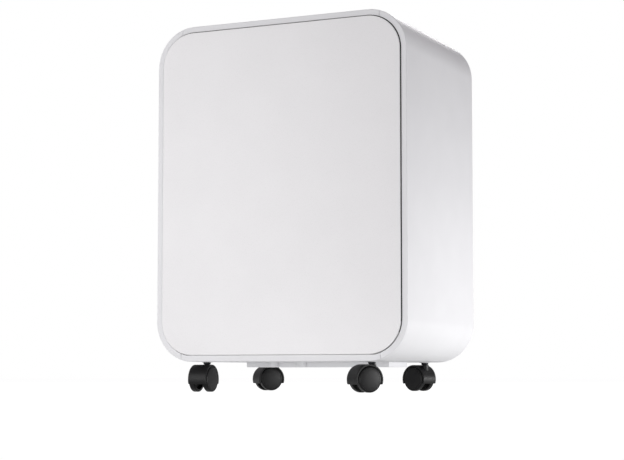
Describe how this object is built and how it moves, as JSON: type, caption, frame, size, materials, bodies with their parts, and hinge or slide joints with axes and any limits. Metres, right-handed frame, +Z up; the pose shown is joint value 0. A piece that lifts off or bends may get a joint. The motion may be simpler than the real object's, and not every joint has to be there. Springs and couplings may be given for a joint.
{
  "type": "dehumidifier",
  "caption": "Upright white portable dehumidifier with rounded casing, proud front panel, rear water tank and twin-wheel casters.",
  "frame": {"origin": "on the floor under the middle of the object's box", "axes": "+X to the right seen from the front, +Y to the back, +Z up"},
  "size_m": [0.35, 0.2476, 0.475],
  "materials": {
    "shell_white": "satin moulded",
    "panel_white": "smooth satin",
    "inner_white": "matte moulded",
    "flap_white": "satin moulded",
    "tank_grey": "satin moulded",
    "caster_black": "matte grained",
    "wheel_black": "semi-gloss",
    "steel": "zinc plated",
    "fins": "bright foil",
    "copper": "drawn copper",
    "enamel_black": "gloss enamel",
    "motor_grey": "satin enamel",
    "rubber_black": "matte",
    "fan_black": "matte",
    "can_metal": "satin",
    "box_grey": "matte",
    "board_green": "solder mask",
    "fascia_dark": "gloss",
    "window_black": "gloss",
    "button_grey": "satin",
    "handle_grey": "matte grained",
    "mesh_dark": "woven",
    "float_orange": "matte foam",
    "inlet_black": "satin"
  },
  "bodies": {
    "body": {"base_pan": "shell_white", "left_casing": "shell_white", "right_casing": "shell_white", "top_cover": "shell_white", "front_panel": "panel_white", "front_bulkhead": "inner_white", "back_cover": "shell_white", "casing_screws": "steel", "tank_bay": "inner_white", "drip_tray": "inner_white", "evaporator_fins": "fins", "evaporator_tubes": "copper", "condenser_fins": "fins", "condenser_tubes": "copper", "refrigerant_pipes": "copper", "filter_drier": "copper", "compressor": "enamel_black", "compressor_mounts": "rubber_black", "compressor_bolts": "steel", "fan_scroll": "fan_black", "fan_motor": "motor_grey", "run_capacitor": "can_metal", "main_board_box": "box_grey", "control_board": "board_green", "control_fascia": "fascia_dark", "display_window": "window_black", "outlet_grille": "fan_black", "power_inlet": "inlet_black", "caster_stems": "steel"},
    "fan": {"fan_wheel": "fan_black", "motor_shaft": "steel"},
    "flap": {"outlet_flap": "flap_white"},
    "handle": {"carry_handle": "handle_grey"},
    "filter": {"filter_frame": "inner_white", "filter_mesh": "mesh_dark"},
    "tank": {"water_tank": "tank_grey", "tank_lid": "inner_white"},
    "float": {"tank_float": "float_orange"},
    "plug": {"drain_plug": "rubber_black"},
    "key_power": {"button_power": "button_grey"},
    "key_mode": {"button_mode": "button_grey"},
    "key_timer": {"button_timer": "button_grey"},
    "key_down": {"button_down": "button_grey"},
    "key_up": {"button_up": "button_grey"},
    "swivel_fl": {"hood_fl": "caster_black", "axle_fl": "steel"},
    "roller_fl_a": {"wheel_fl_a": "wheel_black"},
    "roller_fl_b": {"wheel_fl_b": "wheel_black"},
    "swivel_fr": {"hood_fr": "caster_black", "axle_fr": "steel"},
    "roller_fr_a": {"wheel_fr_a": "wheel_black"},
    "roller_fr_b": {"wheel_fr_b": "wheel_black"},
    "swivel_rl": {"hood_rl": "caster_black", "axle_rl": "steel"},
    "roller_rl_a": {"wheel_rl_a": "wheel_black"},
    "roller_rl_b": {"wheel_rl_b": "wheel_black"},
    "swivel_rr": {"hood_rr": "caster_black", "axle_rr": "steel"},
    "roller_rr_a": {"wheel_rr_a": "wheel_black"},
    "roller_rr_b": {"wheel_rr_b": "wheel_black"}
  },
  "joints": [
    {"name": "fan_spin", "type": "hinge", "parent": "body", "child": "fan", "pos_m": [0, 0.02, 0.3381], "axis": [0, 1, 0], "continuous": true},
    {"name": "flap_hinge", "type": "hinge", "parent": "body", "child": "flap", "pos_m": [0, 0.04875, 0.472], "axis": [-1, 0, 0], "range_deg": [0, 80]},
    {"name": "handle_hinge", "type": "hinge", "parent": "body", "child": "handle", "pos_m": [0, 0.06175, 0.469], "axis": [1, 0, 0], "range_deg": [0, 90]},
    {"name": "filter_slide", "type": "slide", "parent": "body", "child": "filter", "axis": [0, 0, 1], "range_m": [0, 0.25]},
    {"name": "tank_slide", "type": "slide", "parent": "body", "child": "tank", "axis": [0, 1, 0], "range_m": [0, 0.13]},
    {"name": "float_hinge", "type": "hinge", "parent": "tank", "child": "float", "pos_m": [-0.089, 0.04175, 0.1901], "axis": [1, 0, 0], "range_deg": [0, 20]},
    {"name": "plug_pull", "type": "slide", "parent": "body", "child": "plug", "axis": [0, 1, 0], "range_m": [0, 0.03]},
    {"name": "power_press", "type": "slide", "parent": "body", "child": "key_power", "axis": [0, 0, -1], "range_m": [0, 0.0012], "stiffness_N_per_m": 300, "springref_m": -0.001},
    {"name": "mode_press", "type": "slide", "parent": "body", "child": "key_mode", "axis": [0, 0, -1], "range_m": [0, 0.0012], "stiffness_N_per_m": 300, "springref_m": -0.001},
    {"name": "timer_press", "type": "slide", "parent": "body", "child": "key_timer", "axis": [0, 0, -1], "range_m": [0, 0.0012], "stiffness_N_per_m": 300, "springref_m": -0.001},
    {"name": "down_press", "type": "slide", "parent": "body", "child": "key_down", "axis": [0, 0, -1], "range_m": [0, 0.0012], "stiffness_N_per_m": 300, "springref_m": -0.001},
    {"name": "up_press", "type": "slide", "parent": "body", "child": "key_up", "axis": [0, 0, -1], "range_m": [0, 0.0012], "stiffness_N_per_m": 300, "springref_m": -0.001},
    {"name": "turn_fl", "type": "hinge", "parent": "body", "child": "swivel_fl", "pos_m": [-0.116, -0.09275, 0.03], "axis": [0, 0, 1], "continuous": true},
    {"name": "roll_fl_a", "type": "hinge", "parent": "swivel_fl", "child": "roller_fl_a", "pos_m": [-0.11583, -0.10275, 0.016], "axis": [-0.9998, -0.0175, 0], "continuous": true},
    {"name": "roll_fl_b", "type": "hinge", "parent": "swivel_fl", "child": "roller_fl_b", "pos_m": [-0.11583, -0.10275, 0.016], "axis": [-0.9998, -0.0175, 0], "continuous": true},
    {"name": "turn_fr", "type": "hinge", "parent": "body", "child": "swivel_fr", "pos_m": [0.116, -0.09275, 0.03], "axis": [0, 0, 1], "continuous": true},
    {"name": "roll_fr_a", "type": "hinge", "parent": "swivel_fr", "child": "roller_fr_a", "pos_m": [0.10984, -0.10063, 0.016], "axis": [-0.788, 0.6157, 0], "continuous": true},
    {"name": "roll_fr_b", "type": "hinge", "parent": "swivel_fr", "child": "roller_fr_b", "pos_m": [0.10984, -0.10063, 0.016], "axis": [-0.788, 0.6157, 0], "continuous": true},
    {"name": "turn_rl", "type": "hinge", "parent": "body", "child": "swivel_rl", "pos_m": [-0.1125, 0.10125, 0.03], "axis": [0, 0, 1], "continuous": true},
    {"name": "roll_rl_a", "type": "hinge", "parent": "swivel_rl", "child": "roller_rl_a", "pos_m": [-0.11919, 0.09382, 0.016], "axis": [-0.7431, 0.6691, 0], "continuous": true},
    {"name": "roll_rl_b", "type": "hinge", "parent": "swivel_rl", "child": "roller_rl_b", "pos_m": [-0.11919, 0.09382, 0.016], "axis": [-0.7431, 0.6691, 0], "continuous": true},
    {"name": "turn_rr", "type": "hinge", "parent": "body", "child": "swivel_rr", "pos_m": [0.1125, 0.10125, 0.03], "axis": [0, 0, 1], "continuous": true},
    {"name": "roll_rr_a", "type": "hinge", "parent": "swivel_rr", "child": "roller_rr_a", "pos_m": [0.10304, 0.10451, 0.016], "axis": [0.3256, 0.9455, 0], "continuous": true},
    {"name": "roll_rr_b", "type": "hinge", "parent": "swivel_rr", "child": "roller_rr_b", "pos_m": [0.10304, 0.10451, 0.016], "axis": [0.3256, 0.9455, 0], "continuous": true}
  ]
}
